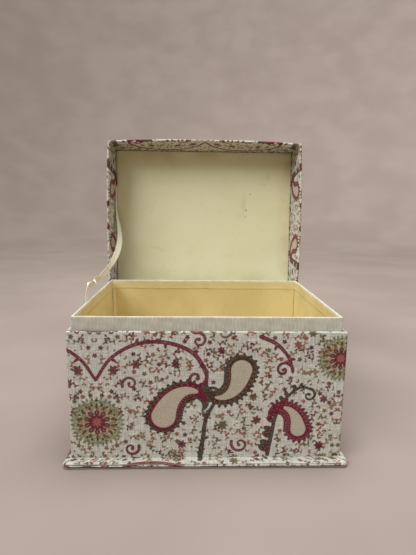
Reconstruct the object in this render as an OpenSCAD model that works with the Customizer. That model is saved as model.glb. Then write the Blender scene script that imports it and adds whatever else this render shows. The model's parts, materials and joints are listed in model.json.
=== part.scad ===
// Cloth covered keepsake box of greyboard: a case on a plinth, a neck that stands up inside it,
// a deep lid on a cloth hinge along the back, and a ribbon stay on the left.
// Millimetres. X to the right, Y to the back, Z up. The origin lies on the table, under the middle
// of the case. The lid is drawn shut and then swung open about the hinge line.

/* [Case] */
// Outside width of the case, cloth to cloth
case_w = 270; // [200:1:360]
// Outside depth of the case, cloth to cloth
case_d = 204; // [150:1:280]
// Height of the rim of the case walls above the table
rim_z = 136.5; // [90:0.5:220]
// Rounding of the upright corners
corner_r = 1; // [0.8:0.1:2]

/* [Plinth] */
// Thickness of the whole plinth
plinth_t = 5.7; // [4:0.1:10]
// How far the plinth stands out in front
plinth_front = 11.4; // [6:0.1:18]
// How far the plinth stands out at each side
plinth_side = 5.6; // [4:0.1:12]
// How far the plinth stands out at the back
plinth_back = 5.6; // [4:0.1:12]
// Plan rounding of the plinth's corners
plinth_r = 5; // [3:0.5:8]

/* [Board, cloth and paper] */
// Thickness of the greyboard walls, floor and lid
board_t = 2.2; // [1.5:0.1:3]
// Thickness of the printed canvas
canvas_t = 0.5; // [0.3:0.05:0.8]
// Thickness of the lining and base papers
paper_t = 0.3; // [0.2:0.05:0.5]
// Depth of canvas glued down inside the case walls
canvas_turn = 15; // [8:1:30]
// Width of canvas glued down under the plinth and under the lid's liner
canvas_lap = 12; // [8:1:20]

/* [Neck] */
// How far the neck stands up above the rim of the case
neck_rise = 13.5; // [8:0.5:20]
// Thickness of the neck's board
neck_board_t = 1.6; // [1:0.1:2.5]
// Thickness of the ribbed cloth on the neck
rib_t = 0.5; // [0.3:0.05:0.8]
// How far the ribbed cloth reaches down the outside of the neck
rib_drop = 30; // [20:1:50]
// How far the ribbed cloth is turned in over the rim
rib_turn = 11; // [6:0.5:16]
// Distance of the lining's top edge below the rim of the neck
lining_drop = 2; // [1:0.5:4]
// Least air between the neck and the lid as the lid swings
swing_gap = 0.35; // [0.3:0.05:0.8]

/* [Lid] */
// Outside height of the lid
lid_h = 52; // [40:0.5:80]
// Thickness of the liner board inside the lid
liner_t = 1.2; // [0.8:0.1:2]
// Gap around the liner board
liner_gap = 1; // [0.9:0.1:1.5]
// Air between the two rims when the lid is shut
rim_gap = 0.6; // [0.6:0.05:1]
// Angle of the lid from shut as it stands here
lid_angle = 94.7; // [90:0.1:109]

/* [Hinge] */
// Distance of the hinge line behind the back of the case
hinge_out = 0.6; // [0.6:0.05:0.8]
// Height of each leaf of the hinge strip
leaf_h = 28; // [20:1:40]
// Radius of the cord of cloth along the fold
fold_r = 0.35; // [0.3:0.05:0.4]
// Distance of the hinge strip's ends from the sides of the case
leaf_inset = 6; // [3:0.5:12]

/* [Ribbon stay] */
// Width of the ribbon
ribbon_w = 10; // [6:0.5:12]
// Thickness of the ribbon
ribbon_t = 0.4; // [0.3:0.05:0.5]
// Air on each side of the ribbon where it goes in beside the neck
ribbon_slip = 0.2; // [0.2:0.05:0.4]
// Distance of the ribbon's lower end in front of the hinge line
stay_case = 135.6; // [100:0.2:145]
// Distance of the ribbon's upper end in front of the hinge line, lid shut
stay_lid = 128; // [95:1:140]
// Length of ribbon hidden at each end
stay_tuck = 20; // [10:1:25]

/* [Hidden] */

CANVAS = [0.78, 0.74, 0.66];
RIB = [0.89, 0.87, 0.79];
LINING = [0.90, 0.84, 0.62];
LINER = [0.84, 0.83, 0.69];
RIBBON = [0.95, 0.93, 0.87];
GREYBOARD = [0.55, 0.52, 0.47];
BASE = [0.45, 0.40, 0.34];

LEFT = -1;
RIGHT = 1;
FRONT = -1;
BACK = 1;
eps = 0.01;                                    // overshoot of a cutting solid

wall_t = board_t + 2 * canvas_t;               // a covered wall with its cloth turned in
half_w = case_w / 2;
half_d = case_d / 2;
floor_z = plinth_t + board_t;                  // top of the floor board
neck_z = rim_z + neck_rise;                    // rim of the neck

hinge_y = half_d + hinge_out;
hinge_z = rim_z + rim_gap / 2;
lid_z0 = rim_z + rim_gap;                      // rim of the shut lid
lid_z1 = lid_z0 + lid_h;                       // top of the shut lid
lid_board_z = lid_z1 - canvas_t - board_t;     // inner face of the lid's top board
liner_z = lid_board_z - canvas_t;              // back of the liner board

// The neck's front rim clears the arc that the inner edge of the lid's front wall sweeps
lid_reach = hinge_y + half_d - wall_t - swing_gap;
neck_reach = sqrt(pow(lid_reach, 2) - pow(neck_z - hinge_z, 2));
swing_inset = hinge_y + half_d - neck_reach;
stay_inset = wall_t + ribbon_t + 2 * ribbon_slip;
// From the outside of the case to the outside of the neck, rounded up to a hundredth
neck_in = ceil(100 * max(swing_inset, stay_inset) - eps) / 100;
neck_board_in = neck_in + rib_t;
neck_face_in = neck_board_in + neck_board_t;   // to the inner face of the neck boards
turn_face_in = neck_face_in + rib_t;           // to the face of the turned-in ribbed cloth
lining_in = turn_face_in + paper_t;            // to the face of the lining at the top

plinth_w = case_w + 2 * plinth_side;
plinth_d = case_d + plinth_front + plinth_back;
plinth_y = (plinth_back - plinth_front) / 2;

stay_x = -half_w + wall_t + ribbon_slip + ribbon_t / 2;
stay_lid_z = liner_z - 0.3 - ribbon_w / 2;     // the ribbon's middle, lid shut

// ---- outlines and solids that repeat ----

module rounded_outline(w, d, r) {
    square([w - 2 * r, d], center = true);
    square([w, d - 2 * r], center = true);
    for (x = [-1, 1], y = [-1, 1])
        translate([x * (w / 2 - r), y * (d / 2 - r)])
            circle(r = r, $fn = 32);
}

// A block on the case's own centre, set in from its outside by the same distance all round
module case_block(inset, z0, z1, r = 0) {
    translate([0, 0, z0])
        linear_extrude(height = z1 - z0)
            if (r > 0)
                rounded_outline(case_w - 2 * inset, case_d - 2 * inset, r);
            else
                square([case_w - 2 * inset, case_d - 2 * inset], center = true);
}

module plinth_block(inset, z0, z1) {
    translate([0, plinth_y, z0])
        linear_extrude(height = z1 - z0)
            rounded_outline(plinth_w - 2 * inset, plinth_d - 2 * inset, max(plinth_r - inset, 1));
}

// A front or back wall: it runs between two faces that lie side_in inside the case's sides
module cross_wall(side, inset, t, side_in, z0, z1) {
    y = half_d - inset;
    translate([-half_w + side_in, side == BACK ? y - t : -y, z0])
        cube([case_w - 2 * side_in, t, z1 - z0]);
}

// A left or right wall: it runs between two faces that lie end_in inside the front and back
module side_wall(side, inset, t, end_in, z0, z1) {
    x = half_w - inset;
    translate([side == RIGHT ? x - t : -x, -half_d + end_in, z0])
        cube([t, case_d - 2 * end_in, z1 - z0]);
}

// Section of a lining: it steps off the neck board onto the cloth turned in over the rim
module lining_section() {
    step_z = neck_z - rib_turn - paper_t;
    top_z = neck_z - lining_drop;
    foot_z = floor_z + paper_t;
    polygon([
        [0, foot_z], [0, step_z + paper_t], [rib_t, step_z + paper_t], [rib_t, top_z],
        [rib_t + paper_t, top_z], [rib_t + paper_t, step_z], [paper_t, step_z], [paper_t, foot_z]
    ]);
}

module lining_sheet(length) {
    rotate([90, 0, 0])
        linear_extrude(height = length, center = true)
            lining_section();
}

// A shut lid's shape, swung open about the hinge line
module opened() {
    translate([0, hinge_y, hinge_z])
        rotate([-lid_angle, 0, 0])
            translate([0, -hinge_y, -hinge_z])
                children();
}

// ---- plinth ----

module base_paper() {
    color(BASE) {
        plinth_block(canvas_lap / 2, 0, paper_t);
        plinth_block(canvas_lap, 0, paper_t + canvas_t);
    }
}

module plinth_board() {
    color(GREYBOARD)
        plinth_block(canvas_t, paper_t + canvas_t, plinth_t - canvas_t);
}

module plinth_cover() {
    color(CANVAS)
        difference() {
            plinth_block(0, paper_t, plinth_t);
            plinth_block(canvas_t, paper_t + canvas_t, plinth_t - canvas_t);
            plinth_block(canvas_lap, 0, plinth_t - canvas_t);
        }
}

// ---- case ----

module case_front_board() {
    color(GREYBOARD)
        cross_wall(FRONT, canvas_t, board_t, canvas_t, plinth_t, rim_z - canvas_t);
}

module case_back_board() {
    color(GREYBOARD)
        cross_wall(BACK, canvas_t, board_t, canvas_t, plinth_t, rim_z - canvas_t);
}

module case_left_board() {
    color(GREYBOARD)
        side_wall(LEFT, canvas_t, board_t, canvas_t + board_t, plinth_t, rim_z - canvas_t);
}

module case_right_board() {
    color(GREYBOARD)
        side_wall(RIGHT, canvas_t, board_t, canvas_t + board_t, plinth_t, rim_z - canvas_t);
}

module case_cover() {
    color(CANVAS)
        difference() {
            case_block(0, plinth_t, rim_z, corner_r);
            case_block(canvas_t, plinth_t - eps, rim_z - canvas_t);
            case_block(wall_t, rim_z - canvas_turn, rim_z + eps);
        }
    color(CANVAS)
        difference() {
            case_block(canvas_t + board_t, rim_z - canvas_turn, rim_z - canvas_t / 2);
            case_block(wall_t, rim_z - canvas_turn - eps, rim_z + eps);
        }
}

module floor_board() {
    color(GREYBOARD)
        case_block(canvas_t + board_t, plinth_t, floor_z);
}

module floor_lining() {
    color(LINING)
        case_block(neck_face_in, floor_z, floor_z + paper_t);
}

// ---- neck ----

module neck_front_board() {
    color(GREYBOARD)
        cross_wall(FRONT, neck_board_in, neck_board_t, neck_board_in, floor_z, neck_z - rib_t);
}

module neck_back_board() {
    color(GREYBOARD)
        cross_wall(BACK, neck_board_in, neck_board_t, neck_board_in, floor_z, neck_z - rib_t);
}

module neck_left_board() {
    color(GREYBOARD)
        side_wall(LEFT, neck_board_in, neck_board_t, neck_face_in, floor_z, neck_z - rib_t);
}

module neck_right_board() {
    color(GREYBOARD)
        side_wall(RIGHT, neck_board_in, neck_board_t, neck_face_in, floor_z, neck_z - rib_t);
}

module neck_cover() {
    color(RIB)
        difference() {
            case_block(neck_in, neck_z - rib_drop, neck_z, corner_r);
            case_block(neck_board_in, neck_z - rib_drop - eps, neck_z - rib_t);
            case_block(turn_face_in, neck_z - rib_t - eps, neck_z + eps);
        }
    color(RIB)
        difference() {
            case_block(neck_face_in, neck_z - rib_turn, neck_z - rib_t / 2);
            case_block(turn_face_in, neck_z - rib_turn - eps, neck_z + eps);
        }
}

module lining_front() {
    color(LINING)
        translate([0, -half_d + neck_face_in, 0])
            rotate([0, 0, 90])
                lining_sheet(case_w - 2 * lining_in);
}

module lining_back() {
    color(LINING)
        translate([0, half_d - neck_face_in, 0])
            rotate([0, 0, -90])
                lining_sheet(case_w - 2 * lining_in);
}

module lining_left() {
    color(LINING)
        translate([-half_w + neck_face_in, 0, 0])
            lining_sheet(case_d - 2 * turn_face_in);
}

module lining_right() {
    color(LINING)
        translate([half_w - neck_face_in, 0, 0])
            rotate([0, 0, 180])
                lining_sheet(case_d - 2 * turn_face_in);
}

// ---- lid ----

module lid_top_board() {
    color(GREYBOARD)
        opened()
            case_block(canvas_t, lid_board_z, lid_z1 - canvas_t);
}

module lid_front_board() {
    color(GREYBOARD)
        opened()
            cross_wall(FRONT, canvas_t, board_t, canvas_t, lid_z0 + canvas_t, lid_board_z);
}

module lid_back_board() {
    color(GREYBOARD)
        opened()
            cross_wall(BACK, canvas_t, board_t, canvas_t, lid_z0 + canvas_t, lid_board_z);
}

module lid_left_board() {
    color(GREYBOARD)
        opened()
            side_wall(LEFT, canvas_t, board_t, canvas_t + board_t, lid_z0 + canvas_t, lid_board_z);
}

module lid_right_board() {
    color(GREYBOARD)
        opened()
            side_wall(RIGHT, canvas_t, board_t, canvas_t + board_t, lid_z0 + canvas_t, lid_board_z);
}

module lid_cover() {
    color(CANVAS)
        opened()
            difference() {
                case_block(0, lid_z0, lid_z1, corner_r);
                case_block(wall_t, lid_z0 - eps, liner_z);
                case_block(wall_t + canvas_lap, liner_z - eps, lid_board_z);
                case_block(canvas_t, lid_board_z, lid_z1 - canvas_t);
                difference() {
                    case_block(canvas_t, lid_z0 + canvas_t, lid_board_z);
                    case_block(canvas_t + board_t, lid_z0, lid_board_z + eps);
                }
            }
}

module lid_liner_board() {
    color(LINER)
        opened()
            case_block(wall_t + liner_gap, liner_z - liner_t, liner_z);
}

module lid_liner_paper() {
    color(LINER)
        opened()
            case_block(wall_t + liner_gap, liner_z - liner_t - paper_t, liner_z - liner_t);
}

// ---- cloth hinge ----

module leaf(z0, z1) {
    translate([-half_w + leaf_inset, half_d, z0])
        cube([case_w - 2 * leaf_inset, canvas_t, z1 - z0]);
}

module hinge_strip_case() {
    color(CANVAS) {
        leaf(rim_z - leaf_h, rim_z);
        translate([-half_w + leaf_inset, hinge_y, hinge_z])
            rotate([0, 90, 0])
                cylinder(r = fold_r, h = case_w - 2 * leaf_inset, $fn = 32);
    }
}

module hinge_strip_lid() {
    color(CANVAS)
        opened()
            leaf(hinge_z + 2 * fold_r, lid_z0 + leaf_h);
}

// ---- ribbon stay ----

// A point of the shut lid, given in front of the hinge line and at its height, with the lid open
function swung(ahead, z) =
    let (up = z - hinge_z)
    [
        stay_x,
        hinge_y - ahead * cos(lid_angle) + up * sin(lid_angle),
        hinge_z + ahead * sin(lid_angle) + up * cos(lid_angle)
    ];

stay_foot = [stay_x, hinge_y - stay_case, neck_z + 2];
stay_head = swung(stay_lid, stay_lid_z);

// Each row: share of the way from foot to head, distance inward, height over the straight line,
// and the turn of the ribbon's width away from fore and aft
STAY_ROUTE = [
    [0.000, -0.3, 0, 0],
    [0.008, -0.3, 5, 0],
    [0.026, 0.4, 8, 0],
    [0.060, 1.2, 7, 0],
    [0.110, 1.8, 2, 2],
    [0.190, 2.6, -6, 2],
    [0.290, 3.8, -16, 3],
    [0.410, 5.6, -26, 4],
    [0.540, 8.0, -33, 7],
    [0.660, 9.8, -38, 12],
    [0.760, 10.4, -39, 18],
    [0.840, 9.4, -36, 19],
    [0.895, 6.8, -29, 14],
    [0.940, 3.4, -20, 7],
    [0.975, 0.8, -10, 2],
    [1.000, 0.0, 0, 0]
];

function route_point(row) = [
    each stay_foot + (stay_head - stay_foot) * row[0] + [row[1], 0, row[2]],
    row[3]
];

STAY = [
    [stay_x, stay_foot[1], rim_z - stay_tuck, 0],
    [stay_x, stay_foot[1], rim_z, 0],
    [stay_x, stay_foot[1], neck_z - 3, 0],
    for (row = STAY_ROUTE) route_point(row),
    [each swung(stay_lid + stay_tuck / 2, stay_lid_z), 0],
    [each swung(stay_lid + stay_tuck, stay_lid_z), 0]
];

function unit(v) = v / norm(v);
function place(i) = [STAY[i][0], STAY[i][1], STAY[i][2]];
function heading(i) = unit(place(min(i + 1, len(STAY) - 1)) - place(max(i - 1, 0)));
function width_way(i) =
    let (way = [sin(STAY[i][3]), cos(STAY[i][3]), 0], along = heading(i))
    unit(way - along * (way * along));
function ring(i) =
    let (wide = width_way(i) * ribbon_w / 2, thick = cross(heading(i), width_way(i)) * ribbon_t / 2)
    [place(i) - wide - thick, place(i) + wide - thick, place(i) + wide + thick, place(i) - wide + thick];

// Both wide faces are split along the same diagonal, so a twisted stretch keeps its thickness
module stay_ribbon() {
    last = len(STAY) - 1;
    points = [for (i = [0:last]) each ring(i)];
    sides = [
        for (i = [0:last - 1], k = [0:3])
            let (a = 4 * i + k, b = 4 * i + (k + 1) % 4)
            each k == 0 ? [[a, a + 4, b + 4], [a, b + 4, b]] : [[a, a + 4, b], [b, a + 4, b + 4]]
    ];
    color(RIBBON)
        polyhedron(
            points = points,
            faces = concat(sides, [[0, 1, 2], [0, 2, 3]],
                [[4 * last + 2, 4 * last + 1, 4 * last], [4 * last + 3, 4 * last + 2, 4 * last]])
        );
}

base_paper();
plinth_board();
plinth_cover();
case_front_board();
case_back_board();
case_left_board();
case_right_board();
case_cover();
floor_board();
floor_lining();
neck_front_board();
neck_back_board();
neck_left_board();
neck_right_board();
neck_cover();
lining_front();
lining_back();
lining_left();
lining_right();
hinge_strip_case();
stay_ribbon();
lid_top_board();
lid_front_board();
lid_back_board();
lid_left_board();
lid_right_board();
lid_cover();
lid_liner_board();
lid_liner_paper();
hinge_strip_lid();
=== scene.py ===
import json
from math import atan2, cos, degrees, dist, pi, radians, sin
import bmesh
import bpy
import numpy as np
from mathutils import Matrix, Vector


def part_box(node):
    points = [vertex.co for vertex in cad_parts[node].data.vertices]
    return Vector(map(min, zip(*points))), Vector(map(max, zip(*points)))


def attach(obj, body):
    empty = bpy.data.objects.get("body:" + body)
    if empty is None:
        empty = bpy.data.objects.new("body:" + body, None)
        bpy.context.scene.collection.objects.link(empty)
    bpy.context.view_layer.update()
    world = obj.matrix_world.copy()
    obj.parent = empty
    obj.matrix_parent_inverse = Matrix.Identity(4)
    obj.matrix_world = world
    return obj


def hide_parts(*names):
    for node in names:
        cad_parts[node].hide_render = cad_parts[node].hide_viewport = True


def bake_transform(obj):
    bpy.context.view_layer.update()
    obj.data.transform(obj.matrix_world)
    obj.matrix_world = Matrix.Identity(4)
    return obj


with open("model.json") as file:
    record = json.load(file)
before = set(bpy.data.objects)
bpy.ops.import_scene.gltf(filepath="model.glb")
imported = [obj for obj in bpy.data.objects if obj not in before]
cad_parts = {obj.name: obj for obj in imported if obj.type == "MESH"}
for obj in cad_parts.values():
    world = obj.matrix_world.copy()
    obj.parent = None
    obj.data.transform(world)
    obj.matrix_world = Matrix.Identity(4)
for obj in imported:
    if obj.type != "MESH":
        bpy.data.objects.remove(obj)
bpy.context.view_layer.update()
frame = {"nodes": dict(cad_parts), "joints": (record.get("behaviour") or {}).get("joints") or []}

# Lengths below are in millimetres unless a name says otherwise.
MM = 0.001


def span(node):
    """Lowest and highest corners of a CAD node, in millimetres."""
    low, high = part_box(node)
    return [c / MM for c in low], [c / MM for c in high]


# ---- sizes

# The outer sizes come from the frame, the thicknesses and overlaps are those of the CAD source.

case_low, case_high = span("case_cover")
half_w = case_high[0]
half_d = case_high[1]
plinth_z = case_low[2]
rim_z = case_high[2]
plinth_low, plinth_high = span("plinth_cover")
_, neck_high = span("neck_cover")
neck_z = neck_high[2]
neck_in = half_w - neck_high[0]
floor_low, floor_high = span("floor_lining")

joint = frame["joints"][0]
hinge_y = joint["pos_m"][1] / MM
hinge_z = joint["pos_m"][2] / MM
lid_angle = radians(-joint["range_deg"][0])

canvas_t = 0.5
board_t = 2.2
paper_t = 0.3
wall_t = board_t + 2 * canvas_t
rib_t = 0.5
canvas_turn = 15.0
rib_turn = 11.0
rib_drop = 30.0
lining_drop = 2.0
neck_face_in = half_w - floor_high[0]
turn_face_in = neck_face_in + rib_t
lid_z0 = 2 * hinge_z - rim_z
lid_h = 52.0
lid_z1 = lid_z0 + lid_h
lid_board_z = lid_z1 - canvas_t - board_t
liner_z = lid_board_z - canvas_t
liner_t = 1.2
liner_gap = 1.0
canvas_lap = 12.0

SIDE_WAYS = {
    "front": ((1, 0), (0, -1)),
    "right": ((0, 1), (1, 0)),
    "back": ((-1, 0), (0, 1)),
    "left": ((0, -1), (-1, 0)),
}


# ---- camera, light and floor

EYE = Vector((-12.74, -488.2, 256.8)) * MM
PITCH_DOWN = radians(9.97)
YAW_RIGHT = radians(1.77)
ROLL = radians(0.7)
LENS_MM = 27.35
SENSOR_MM = 36
SUN_STRENGTH = 2.75
SUN_SPREAD = radians(42)
SUN_WAY = Vector((0.92, 0.8, -0.86))
CEILING_PLACE = (0.1, 0.1, 1.9)
CEILING_SIZE = 1.3
CEILING_POWER = 30
ROOM_STRENGTH = 0.5


def make_camera():
    ahead = Vector((
        sin(YAW_RIGHT) * cos(PITCH_DOWN),
        cos(YAW_RIGHT) * cos(PITCH_DOWN),
        -sin(PITCH_DOWN),
    ))
    level = Vector((cos(YAW_RIGHT), -sin(YAW_RIGHT), 0))
    upright = level.cross(ahead)
    right = level * cos(ROLL) + upright * sin(ROLL)
    up = upright * cos(ROLL) - level * sin(ROLL)
    data = bpy.data.cameras.new("camera")
    data.lens = LENS_MM
    data.sensor_width = SENSOR_MM
    camera = bpy.data.objects.new("camera", data)
    camera.matrix_world = Matrix.Translation(EYE) @ Matrix((right, up, -ahead)).transposed().to_4x4()
    bpy.context.scene.collection.objects.link(camera)
    bpy.context.scene.camera = camera


def make_ceiling_light():
    data = bpy.data.lights.new("ceiling_light", "AREA")
    data.shape = "DISK"
    data.size = CEILING_SIZE
    data.energy = CEILING_POWER
    data.color = (0.99, 0.99, 1.0)
    light = bpy.data.objects.new("ceiling_light", data)
    light.location = CEILING_PLACE
    aim = Vector((0, 0.05, 0)) - Vector(CEILING_PLACE)
    light.rotation_euler = aim.to_track_quat("-Z", "Y").to_euler()
    bpy.context.scene.collection.objects.link(light)


def make_lights():
    data = bpy.data.lights.new("window_light", "SUN")
    data.energy = SUN_STRENGTH
    data.angle = SUN_SPREAD
    data.color = (1.0, 0.99, 0.965)
    sun = bpy.data.objects.new("window_light", data)
    sun.rotation_euler = SUN_WAY.to_track_quat("-Z", "Y").to_euler()
    bpy.context.scene.collection.objects.link(sun)
    make_ceiling_light()
    world = bpy.data.worlds.new("room")
    world.use_nodes = True
    sky = world.node_tree.nodes["Background"]
    sky.inputs["Color"].default_value = (0.96, 0.93, 0.9, 1)
    sky.inputs["Strength"].default_value = ROOM_STRENGTH
    bpy.context.scene.world = world
    bpy.context.scene.view_settings.view_transform = "Standard"


# ---- material helpers

def srgb(red, green, blue):
    """A colour given as 0-255 display values, as the linear colour that a socket takes."""
    def linear(c):
        c = c / 255
        return c / 12.92 if c <= 0.04045 else ((c + 0.055) / 1.055) ** 2.4
    return (linear(red), linear(green), linear(blue), 1)


def feed(tree, socket, value):
    if isinstance(value, bpy.types.NodeSocket):
        tree.links.new(value, socket)
    else:
        socket.default_value = value


def calc(tree, operation, *values):
    made = tree.nodes.new("ShaderNodeMath")
    made.operation = operation
    for socket, value in zip(made.inputs, values):
        feed(tree, socket, value)
    return made.outputs[0]


def times(tree, first, second):
    return calc(tree, "MULTIPLY", first, second)


def plus(tree, first, second):
    return calc(tree, "ADD", first, second)


def ramp(tree, value, low, high, to_low=0.0, to_high=1.0):
    """value from low to high becomes to_low to to_high, with smooth ends."""
    made = tree.nodes.new("ShaderNodeMapRange")
    made.interpolation_type = "SMOOTHSTEP"
    for socket, given in zip(made.inputs, (value, low, high, to_low, to_high)):
        feed(tree, socket, given)
    return made.outputs[0]


def mix(tree, share, first, second):
    made = tree.nodes.new("ShaderNodeMix")
    made.data_type = "RGBA"
    feed(tree, made.inputs[0], share)
    feed(tree, made.inputs[6], first)
    feed(tree, made.inputs[7], second)
    return made.outputs[2]


def attribute(tree, name):
    made = tree.nodes.new("ShaderNodeAttribute")
    made.attribute_name = name
    split = tree.nodes.new("ShaderNodeSeparateXYZ")
    tree.links.new(made.outputs["Vector"], split.inputs[0])
    return made.outputs["Vector"], split.outputs


def place(tree):
    """Where a point of the object is, in millimetres."""
    coordinate = tree.nodes.new("ShaderNodeTexCoord")
    scaled = tree.nodes.new("ShaderNodeVectorMath")
    scaled.operation = "SCALE"
    scaled.inputs["Scale"].default_value = 1 / MM
    tree.links.new(coordinate.outputs["Object"], scaled.inputs[0])
    return scaled.outputs[0]


def stretched(tree, vector, factors):
    made = tree.nodes.new("ShaderNodeVectorMath")
    made.operation = "MULTIPLY"
    tree.links.new(vector, made.inputs[0])
    made.inputs[1].default_value = factors
    return made.outputs[0]


def noise(tree, vector, scale, detail=2.0):
    made = tree.nodes.new("ShaderNodeTexNoise")
    tree.links.new(vector, made.inputs["Vector"])
    made.inputs["Scale"].default_value = scale
    made.inputs["Detail"].default_value = detail
    return made.outputs["Fac"]


def bump(tree, height, distance_mm, strength):
    made = tree.nodes.new("ShaderNodeBump")
    made.inputs["Distance"].default_value = distance_mm * MM
    made.inputs["Strength"].default_value = strength
    tree.links.new(height, made.inputs["Height"])
    return made.outputs[0]


def dress(tree, surface, colour, relief, depth_mm, strength):
    """Gives a surface its colour and its relief."""
    tree.links.new(colour, surface.inputs["Base Color"])
    tree.links.new(bump(tree, relief, depth_mm, strength), surface.inputs["Normal"])


def start_material(name, roughness, sheen=0.0):
    material = bpy.data.materials.new(name)
    material.use_nodes = True
    surface = material.node_tree.nodes["Principled BSDF"]
    surface.inputs["Roughness"].default_value = roughness
    surface.inputs["Sheen Weight"].default_value = sheen
    surface.inputs["Specular IOR Level"].default_value = 0.3
    return material, material.node_tree, surface


# ---- the printed pattern

# The print is drawn in millimetres of cloth, u across and v up, as distances to the edge of each
# ink. It is mirrored about two upright axes, and repeats up and down.
INKS = ["sage", "tan", "terracotta", "olive", "brown", "dark", "crimson", "pink", "pale"]
CELL = 0.4
MIRROR_U = 27.0
HALF_REPEAT = 237.5
REPEAT_V = 150.0
FAR = 4.0
DAB_REACH = 2.0
SCATTER_STEP = 6.0
SCATTER_ROOM = 1.5
print_cols = int(HALF_REPEAT / CELL) + 1
print_rows = int(REPEAT_V / CELL)
ink = {name: np.full((print_rows, print_cols), FAR, np.float32) for name in INKS}
rng = np.random.default_rng(11)


def dab(name, u, v, radius):
    """A round dab of ink."""
    x = (u - MIRROR_U) / CELL
    y = v / CELL
    reach = int((radius + DAB_REACH) / CELL) + 1
    across = np.arange(max(int(x) - reach, 0), min(int(x) + reach + 2, print_cols))
    up = np.arange(int(y) - reach, int(y) + reach + 2)
    if len(across) == 0:
        return
    gap = np.hypot((across - x)[None, :], (up - y)[:, None]) * CELL - radius
    gap[gap > DAB_REACH] = FAR
    window = np.ix_(up % print_rows, across)
    ink[name][window] = np.minimum(ink[name][window], gap)


def smooth_rows(rows, step):
    """Rows of numbers with a smooth curve put through them; the first two columns are the place."""
    rows = np.array(rows, float)
    padded = np.vstack([2 * rows[0] - rows[1], rows, 2 * rows[-1] - rows[-2]])
    made = []
    for k in range(1, len(padded) - 2):
        a, b, c, d = padded[k - 1], padded[k], padded[k + 1], padded[k + 2]
        count = max(int(np.hypot(*(c - b)[:2]) / step), 1)
        for t in np.arange(count) / count:
            made.append(0.5 * (
                2 * b + (c - a) * t + (2 * a - 5 * b + 4 * c - d) * t ** 2
                + (3 * b - a - 3 * c + d) * t ** 3
            ))
    made.append(rows[-1])
    return np.array(made)


def stroke(name, width_start, width_end, points):
    """A brush stroke whose width runs from one end's to the other's."""
    path = smooth_rows(points, 0.5)
    for k, (u, v) in enumerate(path):
        t = k / (len(path) - 1)
        width = width_start + (width_end - width_start) * t
        dab(name, u, v, width / 2)


def blob(name, circles):
    """A shape swept through circles, each given as u, v and radius."""
    for u, v, radius in smooth_rows(circles, 0.7):
        dab(name, u, v, max(radius, 0.3))


def off(u, v, angle, reach):
    """The place at a distance from another, in a direction in degrees."""
    way = radians(angle)
    return u + reach * cos(way), v + reach * sin(way)


def leaf(name, u, v, angle, length, width):
    """A leaf or petal that starts at a point and is pointed at both ends."""
    for t in np.linspace(0.06, 0.97, max(int(length / 0.5), 3)):
        dab(name, *off(u, v, angle, length * t), width / 2 * sin(pi * t) ** 0.8)


def flower(petal, heart, u, v, radius, petals, turn=90.0):
    wide = 0.82 * radius * sin(pi / petals)
    for k in range(petals):
        angle = turn + 360 * k / petals
        leaf(petal, u, v, angle, radius, 1.25 * wide)
        dab(petal, *off(u, v, angle, 0.6 * radius), 0.62 * wide)
    dab(heart, u, v, radius * 0.22)


def sprig(stem, leaves, u, v, angle, length, bend=20.0, count=5):
    """A curved twig with leaves on both sides."""
    points = []
    way = angle
    for k in range(count + 1):
        points.append((u, v))
        u, v = off(u, v, way, length / count)
        way += bend / count
    stroke(stem, 1.1, 0.9, points)
    for k, (leaf_u, leaf_v) in enumerate(points[1:]):
        side = 50 if k % 2 else -50
        leaf(leaves, leaf_u, leaf_v, angle + bend * k / count + side, 1.8 + length * 0.19, 2.0)


def scroll(name, u, v, radius, start, sweep, width):
    """A spiral that winds in from its outer end, with a round bud in the middle."""
    points = [off(u, v, start + sweep * t, radius * (1 - 0.86 * t)) for t in np.linspace(0, 1, 20)]
    stroke(name, width, 0.6 * width, points)
    dab(name, *points[-1], 0.55 * width)


def paisley_rows(u, v, size, lean, hand):
    """Places, radii and directions along a paisley drop, from its round foot to its curled tip."""
    rows = []
    way = lean
    for t in np.linspace(0, 1, 18):
        rows.append((u, v, 0.27 * size * (1 - t) ** 0.85 + 0.6, way))
        u, v = off(u, v, way, 0.068 * size)
        way += hand * (3 + 21 * t)
    return rows


# How far each ink of a paisley drop lies inside the one below it, and the least radius it fills
PAISLEY_BAND = (2.2, 3.4)
PAISLEY_LINE = (4.4, 5.6)
PAISLEY_HEART = (5.4, 6.8)
PAISLEY_BEADS = 3.3


def paisley(rim, band, u, v, size, lean, hand):
    """A paisley drop: scalloped rim, beaded band, and a pale heart printed over a sprig and flower."""
    rows = paisley_rows(u, v, size, lean, hand)
    blob(rim, [row[:3] for row in rows])
    for row_u, row_v, radius, way in rows[:13]:
        for side in (way - 90, way + 90):
            leaf(rim, *off(row_u, row_v, side, 0.9 * radius), side, 3.6, 3.2)
    for k in range(7):
        turn = lean + 180 + 24 * (k - 3)
        leaf(rim, *off(u, v, turn, 0.25 * size), turn, 3.8, 3.4)
    for name, (inside, least) in ((band, PAISLEY_BAND), ("dark", PAISLEY_LINE), ("pale", PAISLEY_HEART)):
        blob(name, [(u, v, radius - inside) for u, v, radius, _ in rows if radius > least])
    for row_u, row_v, radius, way in rows[:12]:
        for side in (way - 90, way + 90):
            dab("pink", *off(row_u, row_v, side, radius - PAISLEY_BEADS), 0.8)
    sprig("olive", "brown", u, v, lean, 0.34 * size, hand * 30, 5)
    flower("crimson", "pink", u, v, 0.11 * size, 7, lean)


# Ink and number of petals, their start and length as shares of the radius, their width at radius 26
ROSETTE_RINGS = (
    ("sage", 34, 0.80, 0.20, 2.6), ("olive", 34, 0.82, 0.13, 1.1), ("dark", 22, 0.62, 0.14, 1.7),
    ("terracotta", 14, 0.50, 0.20, 3.6), ("brown", 14, 0.52, 0.14, 1.5),
    ("crimson", 10, 0.26, 0.22, 4.6), ("pink", 10, 0.30, 0.16, 1.5),
)


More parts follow.
